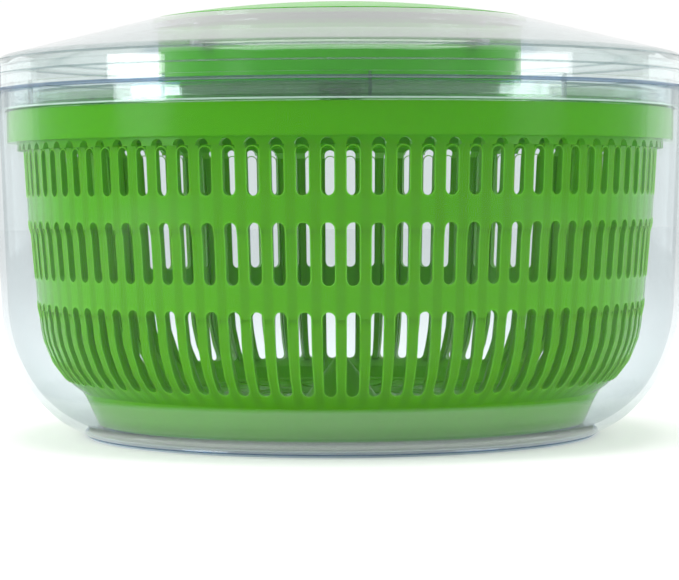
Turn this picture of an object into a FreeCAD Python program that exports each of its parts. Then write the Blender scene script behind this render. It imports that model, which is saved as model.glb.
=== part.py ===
# Salad spinner: clear bowl, slotted basket, clear lid with a planetary crank drive.
# Frame: z = 0 on the worktop, +Z up, the drive axis is the Z axis, front is -Y.
import FreeCAD
import Part
import math
import os
import re
import Sketcher

V = FreeCAD.Vector
doc = FreeCAD.newDocument("salad_spinner")

# ---------------------------------------------------------------- driving sizes (mm)
SIZES = {
    # bowl
    "rim_radius": 130.0, "bowl_wall": 2.4, "base_z": 1.0, "floor_thick": 2.8, "rim_z": 128.2,
    "foot_radius": 96.1, "low_r": 115.8, "low_z": 16.6, "high_r": 126.8, "high_z": 47.7,
    "low_bend": 45.7, "high_bend": 59.8,
    "groove_out": 95.0, "groove_in": 89.0, "groove_deep": 1.2, "ring_gap": 0.05,
    "pin_radius": 3.0, "pin_top": 19.0, "pin_foot": 10.0, "pivot_cone": 12.0,
    # basket
    "basket_rim": 124.3, "basket_top": 120.4, "rim_band": 11.2, "basket_wall": 2.0,
    "bead_radius": 120.5, "bead_deep": 3.0, "wall_top_r": 118.1, "tier_step": 0.6,
    "tier_high_r": 116.5, "tier_high_z": 77.8, "tier_low_r": 113.4, "tier_low_z": 47.9,
    "belly_bend": 34.8, "belly_r": 97.2, "belly_z": 16.9, "foot_top_r": 95.0, "foot_top_z": 12.8,
    "foot_end_r": 91.6, "foot_end_z": 5.0, "basket_floor": 13.7, "cone_base": 13.5,
    "cone_tip": 1.8, "cone_top": 30.0, "slot_count": 88.0, "slot_wide": 4.6, "slot_clear": 1.3,
    "drain_count": 24.0, "drain_wide": 2.4, "drain_start": 40.0, "drain_end": 84.0,
    # pivot
    "cup_radius": 5.6, "cup_roof": 1.5, "run_gap": 0.05, "fit_gap": 0.03,
    # lid
    "lid_wall": 2.2, "skirt_radius": 126.9, "skirt_wall": 1.8, "skirt_z": 120.8,
    "shoulder_z": 136.8, "shoulder_r": 124.6, "shoulder_top": 141.2, "shoulder_bend": 7.0,
    "dome_r": 71.6, "dome_z": 154.6, "recess_r": 70.9, "recess_z": 152.9,
    "mouth_radius": 62.5, "collar_wall": 2.2, "collar_z": 147.5, "rib_count": 11.0,
    # housing
    "drum_radius": 68.0, "drum_wall": 2.0, "drum_floor": 129.3, "lug_radius": 73.6,
    "lug_z": 144.5, "boss_z": 148.5, "screw_ring": 71.6, "screw_radius": 1.2,
    # gears
    "module": 1.5, "ring_teeth": 72.0, "planet_teeth": 24.0, "sun_teeth": 24.0,
    "gear_z": 141.0, "gear_high": 6.0, "thinning": 0.24, "ring_out": 64.2, "axle_radius": 2.0,
    "shaft_radius": 5.0, "washer_thick": 0.4,
    # crank cap
    "cap_radius": 70.0, "cap_low": 153.2, "cap_edge": 155.0, "cap_top": 161.0,
    "cap_skin": 2.4, "skirt_out": 61.7, "skirt_in": 57.5, "well_radius": 12.0, "well_wall": 2.5,
    "well_floor": 151.4, "well_thick": 1.6,
    # fold-down grip
    "grip_far": 52.0, "grip_near": 20.0, "grip_wide": 16.0, "grip_pivot_z": 154.8,
    "grip_low": 152.2, "pocket_gap": 0.5, "pocket_wall": 2.0, "grip_pin_r": 1.5,
    # brake button
    "button_radius": 11.5, "button_top": 161.8, "stem_radius": 4.0, "pad_radius": 6.0,
    "pad_low": 149.6,
    # spinning cover
    "cover_low": 124.5, "cover_wall": 1.8, "cover_bead_in": 114.0, "cover_bead_out": 118.0,
    "cover_bead_top": 127.5, "cover_flange_z": 121.0, "cover_flange_r": 122.4,
    "tab_count": 4.0, "tab_wide": 10.0, "tab_r": 118.8, "tab_thick": 2.2, "tab_low": 115.0,
    "hub_radius": 20.0,
}
sheet = doc.addObject("Spreadsheet::Sheet", "sizes")
for row, (alias, value) in enumerate(SIZES.items(), start=1):
    sheet.set("A%d" % row, alias)
    sheet.set("B%d" % row, repr(value))
    sheet.setAlias("B%d" % row, alias)
doc.recompute()


def bound(text):
    """The same arithmetic, written as an expression on the sheet's named sizes."""
    return re.sub(r"[a-z_]+", lambda found: "sizes." + found.group(0), text)


def n(text):
    """Value of an arithmetic expression on the sheet's named sizes."""
    return float(sheet.evalExpression(bound(text)))


def origin_plane(body, role):
    return [item for item in body.Origin.OriginFeatures if item.Role == role][0]


def turned(name, outline):
    """A body turned about Z. Each outline point is (radius, height) and, if the stretch to the
    next point is an arc, the arc's radius and the side its centre lies on."""
    body = doc.addObject("PartDesign::Body", name)
    sketch = body.newObject("Sketcher::SketchObject", name + "_outline")
    sketch.AttachmentSupport = [(origin_plane(body, "XZ_Plane"), "")]
    sketch.MapMode = "FlatFace"
    spots = [(n(point[0]), n(point[1])) for point in outline]
    ends = []
    rules = []
    bends = []
    for index, point in enumerate(outline):
        ax, az = spots[index]
        bx, bz = spots[(index + 1) % len(spots)]
        if len(point) == 2:
            sketch.addGeometry(Part.LineSegment(V(ax, az, 0), V(bx, bz, 0)), False)
            ends.append((1, 2))
            continue
        radius = n(point[2])
        reach = math.hypot(bx - ax, bz - az)
        rise = math.sqrt(radius * radius - reach * reach / 4) * point[3]
        cx = (ax + bx) / 2 - (bz - az) / reach * rise
        cz = (az + bz) / 2 + (bx - ax) / reach * rise
        start = math.atan2(az - cz, ax - cx)
        stop = math.atan2(bz - cz, bx - cx)
        circle = Part.Circle(V(cx, cz, 0), V(0, 0, 1), radius)
        if point[3] > 0:
            if stop < start:
                stop += 2 * math.pi
            sketch.addGeometry(Part.ArcOfCircle(circle, start, stop), False)
            ends.append((1, 2))
        else:
            if start < stop:
                start += 2 * math.pi
            sketch.addGeometry(Part.ArcOfCircle(circle, stop, start), False)
            ends.append((2, 1))
        bends.append((index, point[2], radius))
    for index in range(len(outline)):
        after = (index + 1) % len(outline)
        rules.append(Sketcher.Constraint("Coincident", index, ends[index][1], after, ends[after][0]))
    named = []
    for index, point in enumerate(outline):
        x, z = spots[index]
        if point[0] == "0":
            rules.append(Sketcher.Constraint("PointOnObject", index, ends[index][0], -2))
        else:
            named.append((len(rules), point[0]))
            rules.append(Sketcher.Constraint("DistanceX", -1, 1, index, ends[index][0], x))
        named.append((len(rules), point[1]))
        rules.append(Sketcher.Constraint("DistanceY", -1, 1, index, ends[index][0], z))
    for index, text, radius in bends:
        named.append((len(rules), text))
        rules.append(Sketcher.Constraint("Radius", index, radius))
    sketch.addConstraint(rules)
    for index, text in named:
        sketch.setExpression("Constraints[%d]" % index, bound(text))
    turn = body.newObject("PartDesign::Revolution", name + "_turn")
    turn.Profile = sketch
    turn.ReferenceAxis = (sketch, ["V_Axis"])
    turn.Angle = 360
    body.Tip = turn
    return body


def shaped(name, shape):
    thing = doc.addObject("Part::Feature", name)
    thing.Shape = shape
    return thing


def cylinder(name, radius, height, x="0", y="0", z="0"):
    thing = doc.addObject("Part::Cylinder", name)
    thing.setExpression("Radius", bound(radius))
    thing.setExpression("Height", bound(height))
    thing.setExpression("Placement.Base.x", bound(x))
    thing.setExpression("Placement.Base.y", bound(y))
    thing.setExpression("Placement.Base.z", bound(z))
    return thing


def box(name, x0, x1, y0, y1, z0, z1):
    thing = doc.addObject("Part::Box", name)
    thing.setExpression("Length", bound("(%s) - (%s)" % (x1, x0)))
    thing.setExpression("Width", bound("(%s) - (%s)" % (y1, y0)))
    thing.setExpression("Height", bound("(%s) - (%s)" % (z1, z0)))
    thing.setExpression("Placement.Base.x", bound(x0))
    thing.setExpression("Placement.Base.y", bound(y0))
    thing.setExpression("Placement.Base.z", bound(z0))
    return thing


def joined(name, things):
    thing = doc.addObject("Part::MultiFuse", name)
    thing.Shapes = things
    return thing


def cut(name, base, tool):
    thing = doc.addObject("Part::Cut", name)
    thing.Base = base
    thing.Tool = tool
    return thing


def common(name, base, tool):
    thing = doc.addObject("Part::Common", name)
    thing.Base = base
    thing.Tool = tool
    return thing


def tube(outer, inner, low, high, x=0.0, y=0.0):
    solid = Part.makeCylinder(outer, high - low, V(x, y, low))
    if inner > 0:
        solid = solid.cut(Part.makeCylinder(inner, high - low + 2, V(x, y, low - 1)))
    return solid


def spread(shape, count, start=0.0):
    """Copies of a shape, evenly spaced about Z."""
    copies = []
    for step in range(int(round(count))):
        copy = shape.copy()
        copy.rotate(V(0, 0, 0), V(0, 0, 1), start + 360.0 * step / count)
        copies.append(copy)
    return Part.makeCompound(copies)


# ---------------------------------------------------------------- bowl and its foot ring
def build_bowl():
    turned("bowl", [
        ("0", "pin_top"),
        ("pin_radius", "pin_top"),
        ("pin_radius", "pin_foot"),
        ("pivot_cone", "base_z + floor_thick"),
        ("foot_radius - bowl_wall", "base_z + floor_thick", "low_bend - bowl_wall", 1),
        ("low_r - bowl_wall * 0.83", "low_z + bowl_wall * 0.56", "high_bend - bowl_wall", 1),
        ("high_r - bowl_wall", "high_z"),
        ("rim_radius - bowl_wall", "rim_z"),
        ("rim_radius", "rim_z"),
        ("high_r", "high_z", "high_bend", -1),
        ("low_r", "low_z", "low_bend", -1),
        ("foot_radius", "base_z"),
        ("groove_out", "base_z"),
        ("groove_out", "base_z + groove_deep"),
        ("groove_in", "base_z + groove_deep"),
        ("groove_in", "base_z"),
        ("pivot_cone - bowl_wall", "base_z"),
        ("pin_radius - 1.5", "pin_foot - 1.5"),
        ("0", "pin_foot - 1.5")])
    turned("non_slip_ring", [
        ("groove_in + ring_gap", "0"),
        ("groove_out - ring_gap", "0"),
        ("groove_out - ring_gap", "base_z + groove_deep"),
        ("groove_in + ring_gap", "base_z + groove_deep")])


# ---------------------------------------------------------------- basket and its pivot cup
def slot_tool(low, high, start, end):
    half = n("slot_wide") / 2
    left = Part.LineSegment(V(-half, -start, low + half), V(-half, -start, high - half))
    top = Part.Arc(V(-half, -start, high - half), V(0, -start, high), V(half, -start, high - half))
    right = Part.LineSegment(V(half, -start, high - half), V(half, -start, low + half))
    foot = Part.Arc(V(half, -start, low + half), V(0, -start, low), V(-half, -start, low + half))
    wire = Part.Wire([left.toShape(), top.toShape(), right.toShape(), foot.toShape()])
    return Part.Face(wire).extrude(V(0, start - end, 0))


def build_basket():
    blank = turned("basket_blank", [
        ("0", "cone_top"),
        ("cone_tip", "cone_top - 1.2"),
        ("cone_base", "basket_floor"),
        ("foot_top_r - 2.5", "basket_floor"),
        ("belly_r - 1.2", "belly_z + 1.7", "belly_bend - basket_wall", 1),
        ("tier_low_r - tier_step - basket_wall", "tier_low_z"),
        ("wall_top_r - 2.2", "basket_top - rim_band - 4.2"),
        ("wall_top_r + 0.1", "basket_top - rim_band - 1.8"),
        ("wall_top_r + 0.3", "basket_top - rim_band + 0.3"),
        ("basket_rim - basket_wall", "basket_top - rim_band + 2"),
        ("basket_rim - basket_wall", "basket_top"),
        ("basket_rim", "basket_top"),
        ("basket_rim", "basket_top - rim_band"),
        ("bead_radius", "basket_top - rim_band"),
        ("bead_radius", "basket_top - rim_band - bead_deep"),
        ("wall_top_r", "basket_top - rim_band - bead_deep"),
        ("tier_high_r", "tier_high_z"),
        ("tier_high_r - tier_step", "tier_high_z"),
        ("tier_low_r", "tier_low_z"),
        ("tier_low_r - tier_step", "tier_low_z", "belly_bend", -1),
        ("belly_r", "belly_z"),
        ("foot_top_r", "foot_top_z"),
        ("foot_end_r", "foot_end_z"),
        ("foot_end_r - basket_wall", "foot_end_z"),
        ("foot_end_r - 0.4", "basket_floor - basket_wall"),
        ("cup_radius + fit_gap", "basket_floor - basket_wall"),
        ("cup_radius + fit_gap", "pin_top + cup_roof"),
        ("0", "pin_top + cup_roof")])
    rows = [
        slot_tool(n("belly_z + 4.4"), n("tier_low_z + 2.7"), 90.0, 119.0),
        slot_tool(n("tier_low_z + 11.3"), n("tier_high_z + 2.7"), 104.0, 123.0),
        slot_tool(n("tier_high_z + 11.3"), n("basket_top - rim_band - 0.7"), 108.0, 124.0)]
    count = n("slot_count")
    slots = [spread(row, count, 180.0 / count) for row in rows]
    drain = Part.makeBox(n("drain_end - drain_start"), n("drain_wide"), 8.0,
                         V(n("drain_start"), -n("drain_wide") / 2, n("basket_floor") - 5))
    slots.append(spread(drain, n("drain_count")))
    tools = shaped("basket_slots", Part.makeCompound(slots))
    wall = cut("basket_wall_slotted", blank, tools)
    lug = Part.makeBox(3.4, 3.0, 6.0, V(n("basket_rim - basket_wall") - 3.0, n("tab_wide / 2 + 0.6"),
                                        n("basket_top") - 7.4))
    twin = lug.mirror(V(0, 0, 0), V(0, 1, 0))
    lugs = shaped("basket_lugs", spread(Part.makeCompound([lug, twin]), n("tab_count"), 45.0))
    joined("basket", [wall, lugs])
    turned("pivot_cup", [
        ("0", "pin_top"),
        ("pin_radius + run_gap", "pin_top"),
        ("pin_radius + run_gap", "pin_foot + 2"),
        ("cup_radius", "pin_foot + 2"),
        ("cup_radius", "pin_top + cup_roof"),
        ("0", "pin_top + cup_roof")])


# ---------------------------------------------------------------- lid, drum and fixed bearings
def build_lid():
    shell = turned("lid_blank", [
        ("skirt_radius - skirt_wall", "skirt_z"),
        ("skirt_radius", "skirt_z"),
        ("skirt_radius", "rim_z"),
        ("rim_radius", "rim_z"),
        ("rim_radius", "shoulder_z", "shoulder_bend", 1),
        ("shoulder_r", "shoulder_top"),
        ("dome_r", "dome_z"),
        ("recess_r", "dome_z - 0.1"),
        ("recess_r", "recess_z"),
        ("mouth_radius", "recess_z"),
        ("mouth_radius", "collar_z"),
        ("mouth_radius + collar_wall", "collar_z"),
        ("mouth_radius + collar_wall", "recess_z - lid_wall"),
        ("recess_r + 1.4", "recess_z - lid_wall"),
        ("shoulder_r - 0.6", "shoulder_top - lid_wall", "shoulder_bend - 2", -1),
        ("rim_radius - lid_wall", "shoulder_z - 0.6"),
        ("rim_radius - lid_wall", "rim_z + 1.8"),
        ("skirt_radius - skirt_wall", "rim_z + 1.8")])
    boss = tube(3.2, 0, n("boss_z"), n("recess_z - 1.2"), x=n("screw_ring"))
    bosses = shaped("lid_bosses", spread(boss, 4, 45.0))
    rib = Part.makeBox(1.6, 1.0, 8.6, V(n("skirt_radius - skirt_wall") - 1.2, -0.5, n("skirt_z") + 0.6))
    ribs = shaped("lid_ribs", spread(rib, n("rib_count"), -90.0 + 4.5))
    whole = joined("lid_whole", [shell, bosses, ribs])
    hole = Part.makeCylinder(n("screw_radius + fit_gap"), 3.4, V(n("screw_ring"), 0, n("boss_z") - 1))
    cut("lid_shell", whole, shaped("lid_holes", spread(hole, 4, 45.0)))


def planet_spots():
    reach = n("module * (sun_teeth + planet_teeth) / 2")
    return [(reach * math.cos(math.radians(turn)), reach * math.sin(math.radians(turn)))
            for turn in (90.0, 210.0, 330.0)]


def build_housing():
    drum = turned("drum_blank", [
        ("cup_radius + 1.5", "drum_floor"),
        ("drum_radius", "drum_floor"),
        ("drum_radius", "recess_z - lid_wall"),
        ("drum_radius - drum_wall", "recess_z - lid_wall"),
        ("drum_radius - drum_wall", "drum_floor + drum_wall"),
        ("10", "drum_floor + drum_wall"),
        ("10", "gear_z - washer_thick"),
        ("cup_radius + 1.5", "gear_z - washer_thick")])
    lug = Part.makeBox(n("lug_radius") - n("drum_radius") + 1.6, 8.0, n("boss_z - lug_z"),
                       V(n("drum_radius") - 1.0, -4.0, n("lug_z")))
    lugs = shaped("drum_lugs", spread(lug, 4, 45.0))
    posts = shaped("drum_posts", Part.makeCompound(
        [tube(5.0, 0, n("drum_floor") + 1.0, n("gear_z - washer_thick"), x, y)
         for x, y in planet_spots()]))
    whole = joined("drum_whole", [drum, lugs, posts])
    holes = [Part.makeCylinder(n("axle_radius + fit_gap"), 14.0, V(x, y, n("drum_floor") - 1))
             for x, y in planet_spots()]
    pilot = Part.makeCylinder(n("screw_radius") + 0.15, 8.0, V(n("screw_ring"), 0, n("lug_z") - 2))
    holes.append(spread(pilot, 4, 45.0))
    cut("gear_housing", whole, shaped("drum_holes", Part.makeCompound(holes)))
    screw = tube(n("screw_radius"), 0, n("lug_z"), n("boss_z") + 2.2, x=n("screw_ring"))
    head = tube(2.7, 0, n("lug_z") - 2.0, n("lug_z"), x=n("screw_ring"))
    driver = Part.makeBox(3.2, 0.8, 0.8, V(n("screw_ring") - 1.6, -0.4, n("lug_z") - 2.0))
    shaped("housing_screws", spread(screw.fuse(head).cut(driver), 4, 45.0))
    shaped("planet_axles", Part.makeCompound(
        [tube(n("axle_radius"), 0, n("drum_floor"), n("gear_z + gear_high") + 0.9, x, y)
         for x, y in planet_spots()]))
    shaped("axle_washers", Part.makeCompound(
        [tube(4.6, n("axle_radius + run_gap"), n("gear_z - washer_thick"), n("gear_z"), x, y)
         for x, y in planet_spots()]))
    shaped("axle_clips", Part.makeCompound(
        [tube(3.8, n("axle_radius") + 0.01, n("gear_z + gear_high") + 0.1,
              n("gear_z + gear_high") + 0.8, x, y)
         for x, y in planet_spots()]))
    turned("shaft_bush", [
        ("shaft_radius + run_gap", "drum_floor - 0.4"),
        ("cup_radius + 1.5 - fit_gap", "drum_floor - 0.4"),
        ("cup_radius + 1.5 - fit_gap", "gear_z - washer_thick"),
        ("9.5", "gear_z - washer_thick"),
        ("9.5", "gear_z"),
        ("shaft_radius + run_gap", "gear_z")])


# ---------------------------------------------------------------- gears
def involute(base, radius):
    return math.sqrt(max(radius * radius / (base * base) - 1.0, 0.0))


def tooth_outline(teeth, low, high, thinning, offset, inward):
    """Closed outline of a gear's toothed edge, with involute flanks at 20 degrees."""
    module = n("module")
    pitch = module * teeth / 2
    base = pitch * math.cos(math.radians(20))

    def turn_at(radius):
        roll = involute(base, radius)
        return roll - math.atan(roll)

    half = math.pi / (2 * teeth) - thinning / (2 * pitch)
    if inward:
        half = math.pi / (2 * teeth) + thinning / (2 * pitch)

    def half_at(radius):
        return half + turn_at(pitch) - turn_at(max(radius, base))

    def spot(radius, angle):
        return V(radius * math.cos(angle), radius * math.sin(angle), 0)

    start = max(low, base)
    steps = [start + (high - start) * share / 4.0 for share in range(5)]
    edges = []
    for tooth in range(int(teeth)):
        middle = 2 * math.pi * tooth / teeth + offset
        after = middle + 2 * math.pi / teeth
        rising = [spot(radius, middle - half_at(radius)) for radius in steps]
        falling = [spot(radius, middle + half_at(radius)) for radius in reversed(steps)]
        left = spot(low, middle - half_at(start))
        right = spot(low, middle + half_at(start))
        onward = spot(low, after - half_at(start))
        if start - low > 1e-6:
            edges.append(Part.LineSegment(left, rising[0]).toShape())
        flank = Part.BSplineCurve()
        flank.interpolate(rising)
        edges.append(flank.toShape())
        edges.append(Part.Arc(rising[-1], spot(high, middle), falling[0]).toShape())
        flank = Part.BSplineCurve()
        flank.interpolate(falling)
        edges.append(flank.toShape())
        if start - low > 1e-6:
            edges.append(Part.LineSegment(falling[-1], right).toShape())
        root = (middle + after) / 2
        edges.append(Part.Arc(right, spot(low, root), onward).toShape())
    return Part.Wire(edges)


def gear_blank(teeth, offset):
    module = n("module")
    pitch = module * teeth / 2
    wire = tooth_outline(teeth, pitch - 1.25 * module, pitch + module, n("thinning"), offset, False)
    return Part.Face(wire).extrude(V(0, 0, n("gear_high")))


def build_gears():
    low = n("gear_z")
    high = n("gear_z + gear_high")
    for index, (x, y) in enumerate(planet_spots(), start=1):
        gear = gear_blank(n("planet_teeth"), math.pi / n("planet_teeth"))
        gear = gear.cut(Part.makeCylinder(n("axle_radius + run_gap"), 20.0, V(0, 0, -5)))
        holes = Part.makeCylinder(2.6, 20.0, V(9.2, 0, -5))
        gear = gear.cut(spread(holes, 6, 30.0))
        gear.translate(V(x, y, low))
        shaped("planet_gear_%d" % index, gear)
    sun = gear_blank(n("sun_teeth"), 0.0)
    sun.translate(V(0, 0, low))
    sun = sun.fuse(tube(n("shaft_radius"), 0, n("cover_low"), low + 1.0))
    sun = sun.cut(Part.makeCylinder(1.55, 12.0, V(0, 0, n("cover_low") - 1)))
    shaped("sun_gear", sun)
    teeth = n("ring_teeth")
    pitch = n("module * ring_teeth / 2")
    # the gap between two inward teeth has the shape of an outward tooth
    wire = tooth_outline(teeth, pitch - n("module"), pitch + 1.25 * n("module"), n("thinning"),
                         math.pi / teeth, True)
    gap = Part.Face(wire).extrude(V(0, 0, n("gear_high") + 4))
    gap.translate(V(0, 0, low - 2))
    ring = Part.makeCylinder(n("ring_out"), high - low, V(0, 0, low)).cut(gap)
    place = n("skirt_in + skirt_out") / 2
    hole = Part.makeCylinder(1.15, 12.0, V(place, 0, low - 1))
    ring = ring.cut(spread(hole, 6, 30.0))
    shaped("ring_gear", ring)
    screw = tube(1.05, 0, low, high + 4.0, x=place)
    head = tube(1.9, 0, low - 1.7, low, x=place)
    driver = Part.makeBox(2.6, 0.6, 0.6, V(place - 1.3, -0.3, low - 1.7))
    shaped("ring_gear_screws", spread(screw.fuse(head).cut(driver), 6, 30.0))


# ---------------------------------------------------------------- crank cap, grip and brake
def dome_height(radius):
    rise = n("cap_top - cap_edge")
    reach = n("cap_radius")
    ball = (reach * reach + rise * rise) / (2 * rise)
    return n("cap_top") - ball + math.sqrt(ball * ball - radius * radius)


def build_crank():
    rise = n("cap_top - cap_edge")
    ball = "(cap_radius ^ 2 + (cap_top - cap_edge) ^ 2) / (2 * (cap_top - cap_edge))"
    skin = turned("cap_skin_blank", [
        ("0", "cap_top", ball, -1),
        ("cap_radius", "cap_edge"),
        ("cap_radius", "cap_low"),
        ("skirt_out", "cap_low"),
        ("skirt_out", "gear_z + gear_high"),
        ("skirt_in", "gear_z + gear_high"),
        ("skirt_in", "cap_edge - 1", ball, 1),
        ("0", "cap_top - cap_skin")])
    solid_dome = Part.makeCylinder(n("cap_radius"), 30.0, V(0, 0, n("cap_top") - 30))
    reach = n("cap_radius")
    radius = (reach * reach + rise * rise) / (2 * rise)
    sphere = Part.makeSphere(radius, V(0, 0, n("cap_top") - radius))
    dome = shaped("dome_form", solid_dome.common(sphere))
    well = cylinder("well_tube", "well_radius + well_wall", "cap_top - well_floor", z="well_floor")
    tub = box("pocket_tub", "grip_near - 4 - pocket_wall", "grip_far + 5.5 + pocket_wall",
              "0 - grip_wide / 2 - pocket_gap - pocket_wall",
              "grip_wide / 2 + pocket_gap + pocket_wall",
              "grip_low - pocket_gap - 2", "cap_top")
    inner = common("cap_inner", joined("cap_inner_forms", [well, tub]), dome)
    whole = joined("cap_whole", [skin, inner])
    well_bore = cylinder("well_bore", "well_radius", "20", z="well_floor + well_thick")
    stem_bore = cylinder("stem_bore", "stem_radius + 0.3", "20", z="well_floor - 5")
    pocket = box("grip_pocket", "grip_near - 4", "grip_far + 5.5",
                 "0 - grip_wide / 2 - pocket_gap", "grip_wide / 2 + pocket_gap",
                 "grip_low - pocket_gap", "cap_top + 5")
    pin_hole = shaped("pin_hole", Part.makeCylinder(n("grip_pin_r + 0.02"), n("grip_wide") + 4.4,
                      V(n("grip_far"), -n("grip_wide") / 2 - 2.2, n("grip_pivot_z")), V(0, 1, 0)))
    place = n("skirt_in + skirt_out") / 2
    pilot = Part.makeCylinder(1.1, 6.0, V(place, 0, n("gear_z + gear_high") - 1.5))
    pilots = shaped("cap_pilots", spread(pilot, 6, 30.0))
    cut("crank_cap", whole, joined("cap_cuts", [well_bore, stem_bore, pocket, pin_hole, pilots]))
    shaped("grip_pin", Part.makeCylinder(n("grip_pin_r"), n("grip_wide") + 4.0,
           V(n("grip_far"), -n("grip_wide") / 2 - 2.0, n("grip_pivot_z")), V(0, 1, 0)))

    bar = box("grip_bar", "grip_near", "grip_far", "0 - grip_wide / 2", "grip_wide / 2",
              "grip_low", "cap_top")
    end = shaped("grip_end", Part.makeCylinder(n("grip_pivot_z - grip_low"), n("grip_wide"),
                 V(n("grip_far"), -n("grip_wide") / 2, n("grip_pivot_z")), V(0, 1, 0)))
    form = common("grip_form", joined("grip_forms", [bar, end]), dome)
    bore = shaped("grip_bore", Part.makeCylinder(n("grip_pin_r + run_gap"), n("grip_wide") + 2,
                  V(n("grip_far"), -n("grip_wide") / 2 - 1, n("grip_pivot_z")), V(0, 1, 0)))
    clearance = Part.makeBox(6.0, n("grip_wide") + 2, 8.0,
                             V(n("grip_far"), -n("grip_wide") / 2 - 1, n("grip_pivot_z")))
    round_off = clearance.cut(Part.makeCylinder(n("grip_pivot_z - grip_low"), n("grip_wide") + 2,
                              V(n("grip_far"), -n("grip_wide") / 2 - 1, n("grip_pivot_z")),
                              V(0, 1, 0)))
    cut("crank_grip", form, joined("grip_cuts", [bore, shaped("grip_round", round_off)]))

    turned("brake_button", [
        ("0", "button_top"),
        ("button_radius - 1.2", "button_top - 0.2"),
        ("button_radius", "button_top - 1"),
        ("button_radius", "button_top - 5.6"),
        ("button_radius - 1.7", "button_top - 5.6"),
        ("button_radius - 1.7", "button_top - 3"),
        ("stem_radius", "button_top - 3"),
        ("stem_radius", "pad_low + 1.7"),
        ("stem_radius - 1", "pad_low + 1.7"),
        ("stem_radius - 1", "pad_low + 1"),
        ("0", "pad_low + 1")])
    turned("brake_clip", [
        ("stem_radius - 0.98", "pad_low + 1"),
        ("pad_radius + 0.5", "pad_low + 1"),
        ("pad_radius + 0.5", "pad_low + 1.7"),
        ("stem_radius - 0.98", "pad_low + 1.7")])
    turned("brake_pad", [
        ("0", "pad_low"),
        ("pad_radius", "pad_low"),
        ("pad_radius", "pad_low + 1"),
        ("0", "pad_low + 1")])
    low = n("well_floor + well_thick")
    high = n("button_top") - 3.0
    wire = 0.4
    helix = Part.makeHelix((high - low - 2 * wire - 0.04) / 2.5, high - low - 2 * wire - 0.04, 6.6)
    helix.translate(V(0, 0, low + wire + 0.02))
    ring = Part.Wire(Part.makeCircle(wire, V(6.6, 0, low + wire + 0.02), V(0, 1, 0)))
    coil = Part.Wire(helix).makePipeShell([ring], True, True)
    shaped("brake_spring", coil)


# ---------------------------------------------------------------- drive hub and spinning cover
def build_cover():
    turned("drive_hub", [
        ("2", "cover_low - 2"),
        ("hub_radius", "cover_low - 2"),
        ("hub_radius", "cover_low"),
        ("8", "cover_low"),
        ("8", "drum_floor - 0.8"),
        ("shaft_radius + fit_gap", "drum_floor - 0.8"),
        ("shaft_radius + fit_gap", "cover_low"),
        ("2", "cover_low")])
    disc = turned("cover_blank", [
        ("8 + fit_gap", "cover_low"),
        ("cover_bead_in - 1", "cover_low"),
        ("cover_bead_in + cover_wall", "cover_bead_top - cover_wall"),
        ("cover_bead_out - cover_wall", "cover_bead_top - cover_wall"),
        ("cover_bead_out - cover_wall", "cover_flange_z"),
        ("cover_flange_r", "cover_flange_z"),
        ("cover_flange_r", "cover_flange_z + cover_wall"),
        ("cover_bead_out", "cover_flange_z + cover_wall"),
        ("cover_bead_out", "cover_bead_top"),
        ("cover_bead_in", "cover_bead_top"),
        ("cover_bead_in - 2", "cover_low + cover_wall"),
        ("8 + fit_gap", "cover_low + cover_wall")])
    tab = Part.makeBox(n("tab_thick"), n("tab_wide"), n("cover_flange_z + 1 - tab_low"),
                       V(n("tab_r"), -n("tab_wide") / 2, n("tab_low")))
    tabs = shaped("cover_tabs", spread(tab, n("tab_count"), 45.0))
    joined("spin_cover", [disc, tabs])
    shank = tube(1.5, 0, n("cover_low") - 2.0, n("cover_low") + 9.0)
    head = tube(4.2, 0, n("cover_low") - 4.2, n("cover_low") - 2.0)
    driver = Part.makeBox(5.0, 1.0, 1.0, V(-2.5, -0.5, n("cover_low") - 4.2))
    shaped("hub_screw", shank.fuse(head).cut(driver))


NODES = [
    "bowl", "non_slip_ring", "basket", "pivot_cup", "lid_shell", "gear_housing",
    "housing_screws", "planet_axles", "axle_washers", "axle_clips", "shaft_bush",
    "planet_gear_1", "planet_gear_2", "planet_gear_3", "sun_gear", "ring_gear",
    "ring_gear_screws", "crank_cap", "grip_pin", "crank_grip", "brake_button",
    "brake_clip", "brake_pad", "brake_spring", "drive_hub", "spin_cover", "hub_screw"]

build_bowl()
build_basket()
build_lid()
build_housing()
build_gears()
build_crank()
build_cover()
doc.recompute()

os.makedirs("parts", exist_ok=True)
for item in doc.Objects:
    for flag in item.State:
        if flag in ("Invalid", "Error"):
            raise RuntimeError("%s is %s" % (item.Name, flag))
for name in NODES:
    item = doc.getObject(name)
    if item is None or item.Shape.isNull() or not item.Shape.isValid():
        raise RuntimeError("no valid shape for " + name)
for name in NODES:
    item = doc.getObject(name)
    item.Label = name
    print(name, round(item.Shape.Volume, 1), len(item.Shape.Solids), item.Shape.BoundBox)
    item.Shape.exportStep("parts/%s.step" % name)
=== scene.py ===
"""Looks of a salad spinner: clear bowl and lid, slotted green basket, geared crank cap."""
import math

import bmesh
import bpy
from mathutils import Matrix, Vector


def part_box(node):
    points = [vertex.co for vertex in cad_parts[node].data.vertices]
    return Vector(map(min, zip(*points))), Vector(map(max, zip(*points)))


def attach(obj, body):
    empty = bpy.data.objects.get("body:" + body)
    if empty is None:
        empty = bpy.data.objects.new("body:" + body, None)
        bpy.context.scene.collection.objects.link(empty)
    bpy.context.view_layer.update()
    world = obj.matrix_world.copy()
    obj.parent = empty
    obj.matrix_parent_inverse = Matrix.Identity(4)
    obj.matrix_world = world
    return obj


bl_info = {
    "name": "Salad Spinner Finishes",
    "version": (1, 0, 0),
    "blender": (4, 5, 0),
    "location": "View3D > Sidebar > Spinner",
    "description": "Finishes and small mouldings of a salad spinner, built on its packed frame",
    "category": "Object",
}

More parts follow.
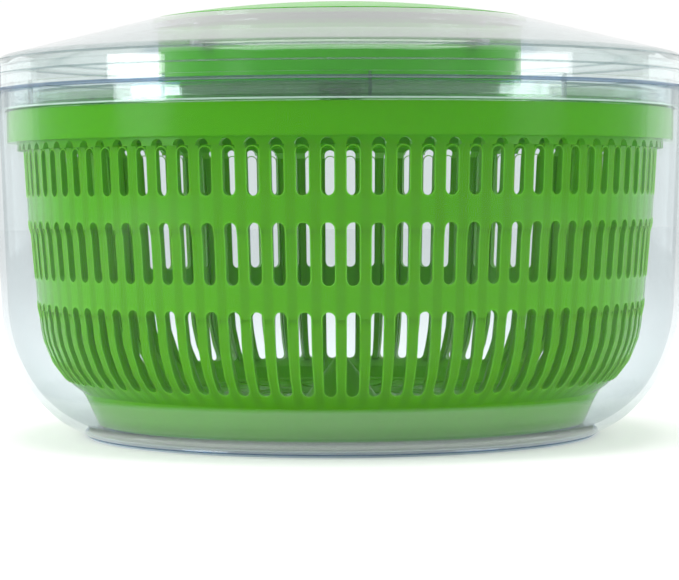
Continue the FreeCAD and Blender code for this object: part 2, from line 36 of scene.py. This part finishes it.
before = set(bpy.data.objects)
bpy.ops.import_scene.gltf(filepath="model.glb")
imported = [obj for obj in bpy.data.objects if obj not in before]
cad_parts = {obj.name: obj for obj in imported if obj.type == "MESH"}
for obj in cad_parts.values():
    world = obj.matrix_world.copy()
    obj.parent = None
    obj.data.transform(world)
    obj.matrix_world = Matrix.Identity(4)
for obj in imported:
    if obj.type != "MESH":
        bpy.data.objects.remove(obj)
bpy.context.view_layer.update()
BASKET_LOW, BASKET_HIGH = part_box("basket")

# Lengths are in metres. Turns about the drive axis start at the front.
FRONT = -math.pi / 2
NODE_CREASE = math.radians(28)
PIECE_CREASE = math.radians(35)

# The basket: its walls as (height, radius), its slots' rows as (low, high), and its details.
SLOT_COUNT = 88
SLOT_ROWS = ((0.0213, 0.0506), (0.0591, 0.0805), (0.0891, 0.1060))
INNER_WALL = ((0.0186, 0.0960), (0.0262, 0.1038), (0.0345, 0.1084), (0.0475, 0.1109),
              (0.1050, 0.1159))
OUTER_WALL = ((0.0169, 0.0972), (0.0217, 0.10345), (0.0276, 0.1079), (0.0355, 0.1112),
              (0.0420, 0.1124), (0.0479, 0.1129), (0.04791, 0.1134), (0.0778, 0.1159),
              (0.07781, 0.1165), (0.1062, 0.1181))
# Heights of the wall's steps, where a painted shadow line darkens the green, and its half width.
STEP_LINES = (0.0773, 0.0474)
PAINTED_STEP_SHADOW_HALF = 0.0007
# Heights over which the painted shade in front of the ribs fades in and out.
RIB_SHADE_START, RIB_SHADE_END = (0.016, 0.02), (0.106, 0.109)
RIB_HEIGHTS = (0.0215, 0.0262, 0.030, 0.0345, 0.041, 0.0475, 0.076, 0.1045)
RIB_ROOT, RIB_TAPER, RIB_RUN_OUT = 0.0004, 0.8, 0.15
LIP_HALF_WIDTH, LIP_THICKNESS, LIP_SINK, LIP_SIDES = 0.00235, 0.00022, 0.00002, 5
LIP_STRAIGHT_STEPS, LIP_ARC_STEPS = 6, 8
FLOOR_TOP = 0.0137
FLOOR_RINGS, FLOOR_RING_HALF, FLOOR_RING_STEPS = (
    (0.020, 0.026, 0.032, 0.038, 0.086, 0.090), 0.0009, 180)

# Fine round beads, each as (radius, height, half thickness). They are tinted darker as painted
# shade along the clear parts' edge lines, save the skirt's, a near-white painted highlight.
RIM_BEAD = ((0.1296, 0.1279, 0.0007),)
FOOT_BEADS = ((0.0958, 0.0013, 0.0006), (0.0885, 0.0038, 0.0004))
LID_BEADS = ((0.1297, 0.1337, 0.00035), (0.1284, 0.1388, 0.0004))
# A near-white bead: painted highlight along the lower edge of the lid's skirt.
SKIRT_HIGHLIGHT_BEAD = ((0.1262, 0.1213, 0.0003),)
COVER_BEAD = ((0.1175, 0.1271, 0.0004),)
BEAD_STEPS, BEAD_SIDES = 256, 8

# The bowl's foot, the painted green at the cover's rim, and the upright ribs in the lid's skirt.
FOOT_TOP, FOOT_BLEND = 0.0175, 0.0008
SOLE_START, SOLE_END = 0.005, 0.0068
COVER_GREEN_RADIUS = 0.1185
COVER_RIM_PAINTED_GREEN = (0.28, 0.66, 0.2, 1.0)
SKIRT_RIB_COUNT = 11
SKIRT_RIB_FIRST = FRONT + math.radians(4.5)
SKIRT_RIB_PLACE = (0.12465, 0, 0.1257)
SKIRT_RIB_SIZE = (0.0017, 0.0011, 0.0084, 1)
SKIRT_RIB_BEVEL = 0.0002

# The stage: softboxes as (name, place, width, height, power), the room's shades, the floor.
LIGHT_TARGET = (0, 0, 0.08)
SOFTBOXES = (("left_box", (-1.2, -0.55, 0.5), 0.5, 0.8, 9.5),
             ("right_box", (1.2, -0.55, 0.5), 0.5, 0.8, 5.0),
             ("left_strip", (-1.25, 0.95, 0.25), 0.75, 1.1, 2.5),
             ("right_strip", (1.25, 0.95, 0.25), 0.75, 1.1, 2.5),
             ("top_box", (0, -0.1, 1.3), 0.9, 0.9, 8.5))
ROOM_SHADES = ((0.1, (0.4, 0.41, 0.42, 1.0)), (0.62, (1.02, 1.02, 1.02, 1.0)))
FLOOR_HALF_WIDTH = 6
CLEAR_LAYERS = 40
SENSOR_WIDTH = 36.0
EYE_SIDE = -0.0005
EYE_ROLL = math.radians(-0.27)


def srgb(red, green, blue, alpha=1.0):
    """A colour given as 0-255 display values, as the linear values that shaders take."""
    def linear(value):
        share = value / 255
        if share <= 0.04045:
            return share / 12.92
        return ((share + 0.055) / 1.055) ** 2.4
    return (linear(red), linear(green), linear(blue), alpha)


def dimmed(colour, share):
    """The colour with its three channels multiplied by share."""
    return tuple(share * value for value in colour[:3]) + (1.0,)


# ------------------------------------------------------------------------------ shader writing
class Signal:
    """A node's output that can be used in arithmetic; each operator adds a Math node."""

    def __init__(self, writer, socket):
        self.writer = writer
        self.socket = socket

    def _math(self, operation, first, second):
        return self.writer.node("ShaderNodeMath", {"operation": operation}, {0: first, 1: second})

    def __add__(self, other):
        return self._math("ADD", self, other)

    def __radd__(self, other):
        return self._math("ADD", other, self)

    def __sub__(self, other):
        return self._math("SUBTRACT", self, other)

    def __rsub__(self, other):
        return self._math("SUBTRACT", other, self)

    def __mul__(self, other):
        return self._math("MULTIPLY", self, other)

    def __rmul__(self, other):
        return self._math("MULTIPLY", other, self)

    def __pow__(self, other):
        return self._math("POWER", self, other)

    def clamped(self):
        return self.writer.node("ShaderNodeClamp", {}, {"Value": self}, "Result")


class NodeWriter:
    """Adds nodes to one node tree."""

    def __init__(self, tree):
        self.tree = tree

    def first(self, kind):
        """The node of this kind that the tree was made with."""
        return next(node for node in self.tree.nodes if node.type == kind)

    def node(self, kind, settings, values, output=0):
        """A new node: its settings, then its inputs' values or links. Gives one output."""
        made = self.tree.nodes.new(kind)
        for key, value in settings.items():
            if key == "stops":
                self._ramp(made.color_ramp, value)
            else:
                setattr(made, key, value)
        for key, value in values.items():
            self.feed(made.inputs[key], value)
        return Signal(self, made.outputs[output])

    def _ramp(self, ramp, stops):
        while len(ramp.elements) < len(stops):
            ramp.elements.new(1.0)
        for element, (position, colour) in zip(ramp.elements, stops):
            element.position = position
            element.color = colour

    def feed(self, socket, value):
        if isinstance(value, Signal):
            self.tree.links.new(value.socket, socket)
        else:
            socket.default_value = value


class Finish(NodeWriter):
    """A material under construction around one Principled shader."""

    def __init__(self, name, **constants):
        self.material = bpy.data.materials.new(name)
        self.material.use_nodes = True
        super().__init__(self.material.node_tree)
        self.shader = self.first("BSDF_PRINCIPLED")
        for socket, value in constants.items():
            self.put(socket.replace("_", " "), value)

    def put(self, name, value):
        self.feed(self.shader.inputs[name], value)

    def place(self):
        """Position on the object, in metres."""
        return self.node("ShaderNodeTexCoord", {}, {}, "Object")

    def axis(self, name):
        """Position on the object along X, Y or Z, in metres."""
        return self.node("ShaderNodeSeparateXYZ", {}, {"Vector": self.place()}, name)

    def noise(self, scale, detail=3.0):
        return self.node("ShaderNodeTexNoise", {},
                         {"Vector": self.place(), "Scale": scale, "Detail": detail,
                          "Roughness": 0.5}, "Fac")

    def mix(self, factor, first, second):
        return self.node("ShaderNodeMix", {"data_type": "RGBA"},
                         {"Factor": factor, 6: first, 7: second}, 2)

    def see_through(self, tint):
        return self.node("ShaderNodeBsdfTransparent", {}, {"Color": tint})

    def shader_mix(self, share, first, second):
        return self.node("ShaderNodeMixShader", {}, {0: share, 1: first, 2: second})

    def bump(self, height, distance, strength):
        self.put("Normal", self.node(
            "ShaderNodeBump", {},
            {"Height": height, "Distance": distance, "Strength": strength}, "Normal"))


def height_share(finish, low, high):
    """0 at height low, 1 at height high (metres)."""
    return ((finish.axis("Z") - low) * (1 / (high - low))).clamped()


def clear_plastic(name, tint, deep_tint, gloss, edge, foot_top=None, fall=5.0,
                  green_radius=None, shine=0.94):
    """Clear moulded plastic. Each surface lets most light straight through, a little tinted,
    more so where it is seen edge on, and mirrors more of the room there too. Below foot_top
    the surface is paler, as a thick foot is. Beyond green_radius it is tinted a painted green,
    the colour of the green rim beside it as seen in the clear edge."""
    finish = Finish(name, Base_Color=(shine, shine + 0.02, shine + 0.02, 1.0), Metallic=1.0)
    finish.put("Roughness", 0.03 + 0.05 * finish.noise(60.0))
    finish.bump(finish.noise(14.0, detail=1.0), distance=0.0002, strength=0.15)
    facing = finish.node("ShaderNodeLayerWeight", {}, {"Blend": 0.5}, "Facing")
    body = finish.shader_mix((facing ** 3.0).clamped(), finish.see_through(tint),
                             finish.see_through(deep_tint))
    if green_radius is not None:
        # Painted light from the green rim beside it: beyond green_radius the clear edge is tinted
        # green.
        x, y = finish.axis("X"), finish.axis("Y")
        beyond = (((x * x + y * y) ** 0.5 - green_radius) * 1000).clamped()
        body = finish.shader_mix(beyond, body, finish.see_through(COVER_RIM_PAINTED_GREEN))
    share = gloss + edge * facing ** fall + 0.005 * finish.noise(9.0, detail=2.0)
    if foot_top is not None:
        foot = 1 - height_share(finish, foot_top - FOOT_BLEND, foot_top + FOOT_BLEND)
        sole = 1 - height_share(finish, SOLE_START, SOLE_END)
        share = share + 0.085 * foot + 0.3 * sole
    mirror = Signal(finish, finish.shader.outputs[0])
    finish.feed(finish.first("OUTPUT_MATERIAL").inputs["Surface"],
                finish.shader_mix(share.clamped(), body, mirror))
    return finish.material


def painted_rib_shade(finish):
    """1 where a rib stands behind the wall, 0 between ribs: the mask of the painted shade there.
    """
    turn = finish.node("ShaderNodeMath", {"operation": "ARCTAN2"},
                       {0: finish.axis("Y"), 1: finish.axis("X")})
    wave = finish.node("ShaderNodeMath", {"operation": "COSINE"},
                       {0: SLOT_COUNT * (turn - FRONT)})
    return ((wave - 0.1) * 2.5).clamped()


def green_plastic(name, low_colour, high_colour, low, high, rough, ribbed=False):
    """Dyed gloss plastic whose colour shifts a little with height and flow marks. When it is
    ribbed, the stretches in front of ribs get painted shade and the wall's step lines a painted
    shadow."""
    finish = Finish(name, IOR=1.49, Subsurface_Weight=0.12, Subsurface_Scale=0.004,
                    Specular_IOR_Level=0.14)
    colour = finish.mix(height_share(finish, low, high), low_colour, high_colour)
    colour = finish.mix(0.35 * finish.noise(22.0, detail=4.0), colour, dimmed(high_colour, 0.86))
    if ribbed:
        up = finish.axis("Z")
        # Painted shadow: a dark line at each step of the wall, as under a ledge.
        for line in STEP_LINES:
            away = finish.node("ShaderNodeMath", {"operation": "ABSOLUTE"}, {0: up - line})
            painted_step_shadow = (1 - away * (1 / PAINTED_STEP_SHADOW_HALF)).clamped()
            colour = finish.mix(0.55 * painted_step_shadow, colour, dimmed(low_colour, 0.45))
        # Painted shade: darker stripes in front of the ribs, as light through the thicker plastic
        # would give.
        shade = (0.45 * painted_rib_shade(finish) * height_share(finish, *RIB_SHADE_START)
                 * (1 - height_share(finish, *RIB_SHADE_END)))
        colour = finish.mix(shade, colour, dimmed(low_colour, 0.6))
    finish.put("Base Color", colour)
    finish.put("Roughness", rough + 0.08 * finish.noise(120.0))
    finish.bump(finish.noise(900.0, detail=2.0), distance=0.00002, strength=0.4)
    return finish.material


def moulded_plastic(name, colour, rough):
    """Plain moulded plastic, faintly mottled."""
    finish = Finish(name, IOR=1.48)
    finish.put("Base Color", finish.mix(finish.noise(60.0, detail=4.0), colour,
                                        dimmed(colour, 0.88)))
    finish.put("Roughness", rough + 0.1 * finish.noise(300.0))
    finish.bump(finish.noise(1500.0), distance=0.00002, strength=0.5)
    return finish.material


def turned_steel(name, colour, rough):
    """Bare steel of small turned and bent parts."""
    finish = Finish(name, Metallic=1.0)
    finish.put("Base Color", finish.mix(finish.noise(400.0), colour, dimmed(colour, 0.75)))
    finish.put("Roughness", rough + 0.15 * finish.noise(800.0))
    finish.bump(finish.noise(2500.0), distance=0.00001, strength=0.4)
    return finish.material


def soft_rubber(name, colour):
    """Matt rubber with an uneven surface."""
    finish = Finish(name, IOR=1.45)
    finish.put("Base Color", finish.mix(finish.noise(80.0), colour, dimmed(colour, 0.8)))
    finish.put("Roughness", 0.55 + 0.2 * finish.noise(500.0))
    finish.bump(finish.noise(1800.0), distance=0.00004, strength=0.6)
    return finish.material


# ------------------------------------------------------------------------------ meshes
def smooth(mesh, crease):
    """Smooth shading up to the edges sharper than crease."""
    for face in mesh.polygons:
        face.use_smooth = True
    mesh.set_sharp_from_angle(angle=crease)


def dress(material, *nodes):
    """Gives CAD nodes their finish, with smooth shading up to their sharp edges."""
    for name in nodes:
        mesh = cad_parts[name].data
        mesh.materials.clear()
        mesh.materials.append(material)
        smooth(mesh, NODE_CREASE)


def to_mesh(name, shape):
    bmesh.ops.recalc_face_normals(shape, faces=shape.faces)
    mesh = bpy.data.meshes.new(name)
    shape.to_mesh(mesh)
    shape.free()
    return mesh


def new_piece(name, shape, material, body):
    """A visible piece made from a bmesh, riding on a body."""
    mesh = to_mesh(name, shape)
    piece = bpy.data.objects.new(name, mesh)
    bpy.context.scene.collection.objects.link(piece)
    mesh.materials.append(material)
    smooth(mesh, PIECE_CREASE)
    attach(piece, body)
    return piece


def even_turns(count, start=0.0, shift=0):
    """Evenly spaced angles round a circle, from start, moved on by a share of one space."""
    return [start + 2 * math.pi * (number + shift) / count for number in range(count)]


def directions(turn):
    """Unit vectors outwards and sideways at a turn about the drive axis."""
    return (Vector((math.cos(turn), math.sin(turn), 0)),
            Vector((-math.sin(turn), math.cos(turn), 0)))


def join_loops(shape, loops):
    """Faces from each closed loop of points to the next, and from the last to the first."""
    for place, near in enumerate(loops):
        far = loops[(place + 1) % len(loops)]
        for side in range(len(near)):
            after = (side + 1) % len(near)
            shape.faces.new((near[side], near[after], far[after], far[side]))


def turn_section(shape, section, steps):
    """Turns a closed section of (radius, height) points about the drive axis."""
    join_loops(shape, [[shape.verts.new((radius * math.cos(turn), radius * math.sin(turn),
                                         height)) for radius, height in section]
                       for turn in even_turns(steps)])


def beads(rings):
    """Fine round beads about the drive axis. Each is (radius, height, half thickness)."""
    shape = bmesh.new()
    for radius, height, half in rings:
        turn_section(shape, [(radius + half * math.cos(lean), height + half * math.sin(lean))
                             for lean in even_turns(BEAD_SIDES)], BEAD_STEPS)
    return shape


def closed_bead(shape, path, thick, sides):
    """A round bead along a closed path of points."""
    loops = []
    for place, spot in enumerate(path):
        along = (path[(place + 1) % len(path)] - path[place - 1]).normalized()
        out = Vector((spot.x, spot.y, 0)).normalized()
        across = along.cross(out).normalized()
        out = across.cross(along)
        loops.append([shape.verts.new(spot + thick * (math.cos(lean) * out
                                                      + math.sin(lean) * across))
                      for lean in even_turns(sides)])
    join_loops(shape, loops)


def wall_radius(wall, height):
    """Radius at a height, read off a wall's (height, radius) points."""
    for (low, near), (high, far) in zip(wall, wall[1:]):
        if height <= high:
            return near + (far - near) * (height - low) / (high - low)
    return wall[-1][1]


# ------------------------------------------------------------------------------ sizes and colours
class SpinnerSizes(bpy.types.PropertyGroup):
    rib_width: bpy.props.FloatProperty(
        name="Rib width", description="Width of each rib inside the basket",
        default=0.0024, unit="LENGTH")
    rib_depth: bpy.props.FloatProperty(
        name="Rib depth", description="How far a rib stands in from the basket's wall",
        default=0.0012, unit="LENGTH")
    ridge_height: bpy.props.FloatProperty(
        name="Ridge height", description="Height of the rings on the basket's floor",
        default=0.0008, unit="LENGTH")
    eye_distance: bpy.props.FloatProperty(
        name="Eye distance", description="From the camera to the drive axis",
        default=0.942, unit="LENGTH")
    eye_height: bpy.props.FloatProperty(
        name="Eye height", description="Height of the camera above the worktop",
        default=0.0887, unit="LENGTH")
    eye_pitch: bpy.props.FloatProperty(
        name="Eye pitch", description="How far the camera looks down",
        default=math.radians(2.13), subtype="ANGLE")
    lens: bpy.props.FloatProperty(
        name="Lens", description="Focal length for a 36 mm wide sensor", default=132.5)


class SpinnerColours(bpy.types.PropertyGroup):
    clear_tint: bpy.props.FloatVectorProperty(
        name="Clear tint", description="Tint of the bowl and lid", subtype="COLOR", size=4,
        default=(0.9, 0.922, 0.926, 1.0))
    deep_tint: bpy.props.FloatVectorProperty(
        name="Deep tint", description="Tint of the clear plastic seen edge on", subtype="COLOR",
        size=4, default=(0.78, 0.82, 0.83, 1.0))
    basket_low: bpy.props.FloatVectorProperty(
        name="Basket, low", description="Green of the basket near its floor", subtype="COLOR",
        size=4, default=srgb(104, 190, 6))
    basket_high: bpy.props.FloatVectorProperty(
        name="Basket, high", description="Green of the basket near its rim", subtype="COLOR",
        size=4, default=srgb(84, 172, 14))
    cap_green: bpy.props.FloatVectorProperty(
        name="Cap", description="Green of the crank cap", subtype="COLOR", size=4,
        default=srgb(70, 168, 8))
    button_white: bpy.props.FloatVectorProperty(
        name="Button", description="Colour of the brake button", subtype="COLOR", size=4,
        default=srgb(226, 230, 228))


def sizes():
    return bpy.context.scene.spinner_sizes


def colours():
    return bpy.context.scene.spinner_colours


# ------------------------------------------------------------------------------ pieces
class SPINNER_OT_bowl(bpy.types.Operator):
    """Clear bowl and the soft ring under it"""
    bl_idname = "spinner.bowl"
    bl_label = "Bowl"

    def execute(self, context):
        dress(clear_plastic("clear_bowl", tuple(colours().clear_tint),
                            tuple(colours().deep_tint), gloss=0.005, edge=0.5,
                            foot_top=FOOT_TOP), "bowl")
        # Painted shade: the beads on the bowl's rim and foot are tinted darker blue, for the dark
        # look of these edges.
        edge = clear_plastic("bowl_edge_painted_shade", (0.5, 0.62, 0.74, 1.0), (0.36, 0.48, 0.6, 1.0),
                             gloss=0.1, edge=0.3)
        new_piece("rim_bead", beads(RIM_BEAD), edge, "bowl")
        new_piece("foot_bead", beads(FOOT_BEADS), edge, "bowl")
        dress(soft_rubber("ring_rubber", srgb(198, 212, 216)), "non_slip_ring")
        return {"FINISHED"}


class SPINNER_OT_basket(bpy.types.Operator):
    """Slotted basket, its inner ribs, the lips of its slots, the rings on its floor and its
    pivot cup"""
    bl_idname = "spinner.basket"
    bl_label = "Basket"

    def execute(self, context):
        green = green_plastic("basket_green", tuple(colours().basket_low),
                              tuple(colours().basket_high), BASKET_LOW[2],
                              BASKET_HIGH[2] - 0.011, 0.16, ribbed=True)
        dress(green, "basket")
        dress(moulded_plastic("pivot_white", srgb(225, 225, 220), 0.35), "pivot_cup")
        new_piece("basket_ribs", self.ribs(), green, "basket")
        # Painted highlight: the slots' round lips are a lighter green than the basket, on top of
        # the light their roundness catches.
        lip_highlight = green_plastic("slot_lip_painted_highlight", srgb(118, 206, 48), srgb(112, 200, 44),
                            BASKET_LOW[2], BASKET_HIGH[2], 0.14)
        new_piece("slot_lips", self.lips(), lip_highlight, "basket")
        new_piece("floor_rings", self.rings(), green, "basket")
        return {"FINISHED"}

    def ribs(self):
        """Upright ribs behind the webs between the slots."""
        shape = bmesh.new()
        half = sizes().rib_width / 2
        depth = sizes().rib_depth
        for turn in even_turns(SLOT_COUNT, FRONT):
            out, side = directions(turn)
            rows = []
            for height in RIB_HEIGHTS:
                wall = wall_radius(INNER_WALL, height)
                at_end = height in (RIB_HEIGHTS[0], RIB_HEIGHTS[-1])
                root, crest = wall + RIB_ROOT, wall - depth * (RIB_RUN_OUT if at_end else 1.0)
                up = Vector((0, 0, height))
                rows.append([shape.verts.new(up + out * reach + side * across)
                             for reach, across in ((root, -half), (crest, -half * RIB_TAPER),
                                                   (crest, half * RIB_TAPER), (root, half))])
            for low, high in zip(rows, rows[1:]):
                for corner in range(4):
                    after = (corner + 1) % 4
                    shape.faces.new((low[corner], low[after], high[after], high[corner]))
            shape.faces.new(rows[0])
            shape.faces.new(rows[-1])
        return shape

    def outline(self, low, high):
        """A slot's outline as (across, height): straight sides and round ends."""
        half, count = LIP_HALF_WIDTH, LIP_STRAIGHT_STEPS
        length = high - low - 2 * half
        leans = [math.pi * share / LIP_ARC_STEPS for share in range(1, LIP_ARC_STEPS)]
        return ([(half, low + half + length * share / count) for share in range(count + 1)]
                + [(half * math.cos(lean), high - half + half * math.sin(lean))
                   for lean in leans]
                + [(-half, high - half - length * share / count) for share in range(count + 1)]
                + [(-half * math.cos(lean), low + half - half * math.sin(lean))
                   for lean in leans])

    def lips(self):
        """Fine rounded lips around the slots' outer edges."""
        shape = bmesh.new()
        for low, high in SLOT_ROWS:
            outline = self.outline(low, high)
            for turn in even_turns(SLOT_COUNT, FRONT, shift=0.5):
                out, side = directions(turn)
                path = []
                for across, height in outline:
                    wall = wall_radius(OUTER_WALL, height)
                    reach = math.sqrt(wall ** 2 - across ** 2) - LIP_SINK
                    path.append(out * reach + side * across + Vector((0, 0, height)))
                closed_bead(shape, path, LIP_THICKNESS, LIP_SIDES)
        return shape

    def rings(self):
        """Low rounded rings moulded on the basket's floor."""
        shape = bmesh.new()
        half = FLOOR_RING_HALF
        for middle in FLOOR_RINGS:
            section = [(middle + half * math.cos(lean),
                        FLOOR_TOP - 0.0001 + sizes().ridge_height * math.sin(lean))
                       for lean in [math.pi * share / 6 for share in range(7)]]
            section += [(middle - half, FLOOR_TOP - 0.0005), (middle + half, FLOOR_TOP - 0.0005)]
            turn_section(shape, section, FLOOR_RING_STEPS)
        return shape


class SPINNER_OT_lid(bpy.types.Operator):
    """Clear lid, the spinning cover under it, and the green gear housing"""
    bl_idname = "spinner.lid"
    bl_label = "Lid"

    def execute(self, context):
        dress(clear_plastic("clear_lid", (0.94, 0.96, 0.96, 1.0), (0.7, 0.78, 0.77, 1.0),
                            gloss=0.05, edge=0.9, fall=3.2, shine=0.84), "lid_shell")
        dress(clear_plastic("clear_cover", (0.95, 0.99, 0.94, 1.0), (0.86, 0.96, 0.84, 1.0),
                            gloss=0.15, edge=0.3, green_radius=COVER_GREEN_RADIUS),
              "spin_cover")
        # Painted shade: the lid's edge lines, the skins over its ribs and the cover's edge bead
        # are tinted darker.
        edge = clear_plastic("lid_edge_painted_shade", (0.74, 0.8, 0.8, 1.0), (0.5, 0.58, 0.6, 1.0),
                             gloss=0.08, edge=0.5)
        # Painted highlight: near-white plastic along the skirt's lower edge.
        skirt_highlight = moulded_plastic("skirt_painted_highlight", srgb(226, 246, 228), 0.2)
        new_piece("lid_beads", beads(LID_BEADS), edge, "lid")
        new_piece("skirt_highlight_bead", beads(SKIRT_HIGHLIGHT_BEAD), skirt_highlight, "lid")
        new_piece("skirt_ribs", self.ribs(), edge, "lid")
        new_piece("cover_bead", beads(COVER_BEAD), edge, "drive")
        low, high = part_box("gear_housing")
        dress(green_plastic("housing_green", srgb(74, 182, 34), srgb(84, 190, 38),
                            low[2], high[2], 0.2), "gear_housing")
        return {"FINISHED"}

    def ribs(self):
        """Tinted skins over the upright ribs inside the lid's skirt: painted shade that makes the
        ribs show.
        """
        shape = bmesh.new()
        for turn in even_turns(SKIRT_RIB_COUNT, SKIRT_RIB_FIRST):
            place = Matrix.Rotation(turn, 4, "Z") @ Matrix.Translation(SKIRT_RIB_PLACE)
            made = bmesh.ops.create_cube(shape, size=1.0,
                                         matrix=place @ Matrix.Diagonal(SKIRT_RIB_SIZE))
            bmesh.ops.bevel(shape, geom=list({e for v in made["verts"] for e in v.link_edges}),
                            offset=SKIRT_RIB_BEVEL, segments=2, affect="EDGES")
        return shape


class SPINNER_OT_gears(bpy.types.Operator):
    """Planetary gears, their bearings and the drive hub"""
    bl_idname = "spinner.gears"
    bl_label = "Gears"

    def execute(self, context):
        dress(moulded_plastic("gear_white", srgb(228, 228, 220), 0.32),
              "planet_gear_1", "planet_gear_2", "planet_gear_3")
        dress(moulded_plastic("sun_white", srgb(224, 224, 216), 0.3), "sun_gear")
        dress(moulded_plastic("ring_white", srgb(220, 222, 214), 0.34), "ring_gear")
        dress(moulded_plastic("bush_plastic", srgb(214, 214, 208), 0.3), "shaft_bush")
        dress(moulded_plastic("hub_plastic", srgb(126, 210, 84), 0.28), "drive_hub")
        return {"FINISHED"}


class SPINNER_OT_hardware(bpy.types.Operator):
    """Screws, axles, washers, clips, pin and spring"""
    bl_idname = "spinner.hardware"
    bl_label = "Hardware"

    def execute(self, context):
        dress(turned_steel("screw_steel", srgb(200, 200, 200), 0.25),
              "housing_screws", "ring_gear_screws", "hub_screw")
        dress(turned_steel("axle_steel", srgb(206, 207, 210), 0.18), "planet_axles")
        dress(turned_steel("pin_steel", srgb(206, 207, 210), 0.18), "grip_pin")
        dress(turned_steel("washer_steel", srgb(198, 198, 198), 0.3), "axle_washers")
        dress(turned_steel("clip_steel", srgb(170, 170, 172), 0.35), "axle_clips", "brake_clip")
        dress(turned_steel("spring_steel", srgb(188, 188, 190), 0.28), "brake_spring")
        return {"FINISHED"}


class SPINNER_OT_crank(bpy.types.Operator):
    """Domed crank cap and its fold-down grip"""
    bl_idname = "spinner.crank"
    bl_label = "Crank"

    def execute(self, context):
        green = tuple(colours().cap_green)
        low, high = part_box("crank_cap")
        dress(green_plastic("cap_green", green, green, low[2], high[2], 0.18), "crank_cap")
        dress(green_plastic("grip_green", green, srgb(84, 168, 36), low[2], high[2], 0.2),
              "crank_grip")
        return {"FINISHED"}


class SPINNER_OT_brake(bpy.types.Operator):
    """Brake button at the middle of the cap, and its pad"""
    bl_idname = "spinner.brake"
    bl_label = "Brake"

    def execute(self, context):
        dress(moulded_plastic("button_white", tuple(colours().button_white), 0.18), "brake_button")
        dress(soft_rubber("pad_rubber", srgb(50, 50, 50)), "brake_pad")
        return {"FINISHED"}


# ------------------------------------------------------------------------------ stage
def softbox(name, place, width, height, power):
    """A rectangular light facing the spinner."""
    light = bpy.data.lights.new(name, "AREA")
    light.shape = "RECTANGLE"
    light.size = width
    light.size_y = height
    light.energy = power
    lamp = bpy.data.objects.new(name, light)
    bpy.context.scene.collection.objects.link(lamp)
    lamp.location = place
    lamp.rotation_euler = ((Vector(LIGHT_TARGET) - Vector(place))
                           .to_track_quat("-Z", "Y").to_euler())


class SPINNER_OT_stage(bpy.types.Operator):
    """Pale floor, soft light and the camera"""
    bl_idname = "spinner.stage"
    bl_label = "Stage"

    def execute(self, context):
        self.floor()
        context.scene.world = self.room()
        context.scene.cycles.transparent_max_bounces = CLEAR_LAYERS
        context.scene.view_settings.view_transform = "Standard"
        for row in SOFTBOXES:
            softbox(*row)
        self.camera(context)
        return {"FINISHED"}

    def room(self):
        """White in front of the camera and dimmer behind it, so edges and curves read."""
        world = bpy.data.worlds.new("soft_room")
        world.use_nodes = True
        writer = NodeWriter(world.node_tree)
        spot = writer.node("ShaderNodeTexCoord", {}, {}, "Generated")
        depth = writer.node("ShaderNodeSeparateXYZ", {}, {"Vector": spot}, "Y")
        reach = writer.node("ShaderNodeMapRange", {}, {"Value": depth, "From Min": -1.0})
        shade = writer.node("ShaderNodeValToRGB", {"stops": ROOM_SHADES}, {"Fac": reach})
        writer.feed(writer.first("BACKGROUND").inputs["Color"], shade)
        return world

    def floor(self):
        shape = bmesh.new()
        shape.faces.new([shape.verts.new((x * FLOOR_HALF_WIDTH, y * FLOOR_HALF_WIDTH, 0))
                         for x, y in ((-1, -1), (1, -1), (1, 1), (-1, 1))])
        mesh = to_mesh("floor", shape)
        finish = Finish("floor_white", Base_Color=(0.9, 0.9, 0.9, 1.0), Roughness=0.9,
                        Emission_Color=(1.0, 1.0, 1.0, 1.0), Emission_Strength=0.18)
        mesh.materials.append(finish.material)
        floor = bpy.data.objects.new("floor", mesh)
        bpy.context.scene.collection.objects.link(floor)

    def camera(self, context):
        size = sizes()
        lens = bpy.data.cameras.new("eye")
        lens.sensor_width = SENSOR_WIDTH
        lens.lens = size.lens
        eye = bpy.data.objects.new("eye", lens)
        context.scene.collection.objects.link(eye)
        turn = (Matrix.Rotation(math.pi / 2 - size.eye_pitch, 4, "X")
                @ Matrix.Rotation(EYE_ROLL, 4, "Z"))
        place = Matrix.Translation((EYE_SIDE, -size.eye_distance, size.eye_height))
        eye.matrix_world = place @ turn
        context.scene.camera = eye


class SPINNER_PT_panel(bpy.types.Panel):
    """The spinner's pieces, in the order they are finished"""
    bl_idname = "SPINNER_PT_panel"
    bl_label = "Salad Spinner"
    bl_space_type = "VIEW_3D"
    bl_region_type = "UI"
    bl_category = "Spinner"

    def draw(self, context):
        for operator in OPERATORS:
            self.layout.operator(operator.bl_idname)


OPERATORS = (SPINNER_OT_bowl, SPINNER_OT_basket, SPINNER_OT_lid, SPINNER_OT_gears,
             SPINNER_OT_hardware, SPINNER_OT_crank, SPINNER_OT_brake, SPINNER_OT_stage)
CLASSES = (SpinnerSizes, SpinnerColours) + OPERATORS + (SPINNER_PT_panel,)


def register():
    for item in CLASSES:
        bpy.utils.register_class(item)
    bpy.types.Scene.spinner_sizes = bpy.props.PointerProperty(type=SpinnerSizes)
    bpy.types.Scene.spinner_colours = bpy.props.PointerProperty(type=SpinnerColours)


def unregister():
    del bpy.types.Scene.spinner_sizes
    del bpy.types.Scene.spinner_colours
    for item in reversed(CLASSES):
        bpy.utils.unregister_class(item)


def main():
    register()
    bpy.ops.spinner.bowl()
    bpy.ops.spinner.basket()
    bpy.ops.spinner.lid()
    bpy.ops.spinner.gears()
    bpy.ops.spinner.hardware()
    bpy.ops.spinner.crank()
    bpy.ops.spinner.brake()
    bpy.ops.spinner.stage()


if __name__ == "__main__":
    main()
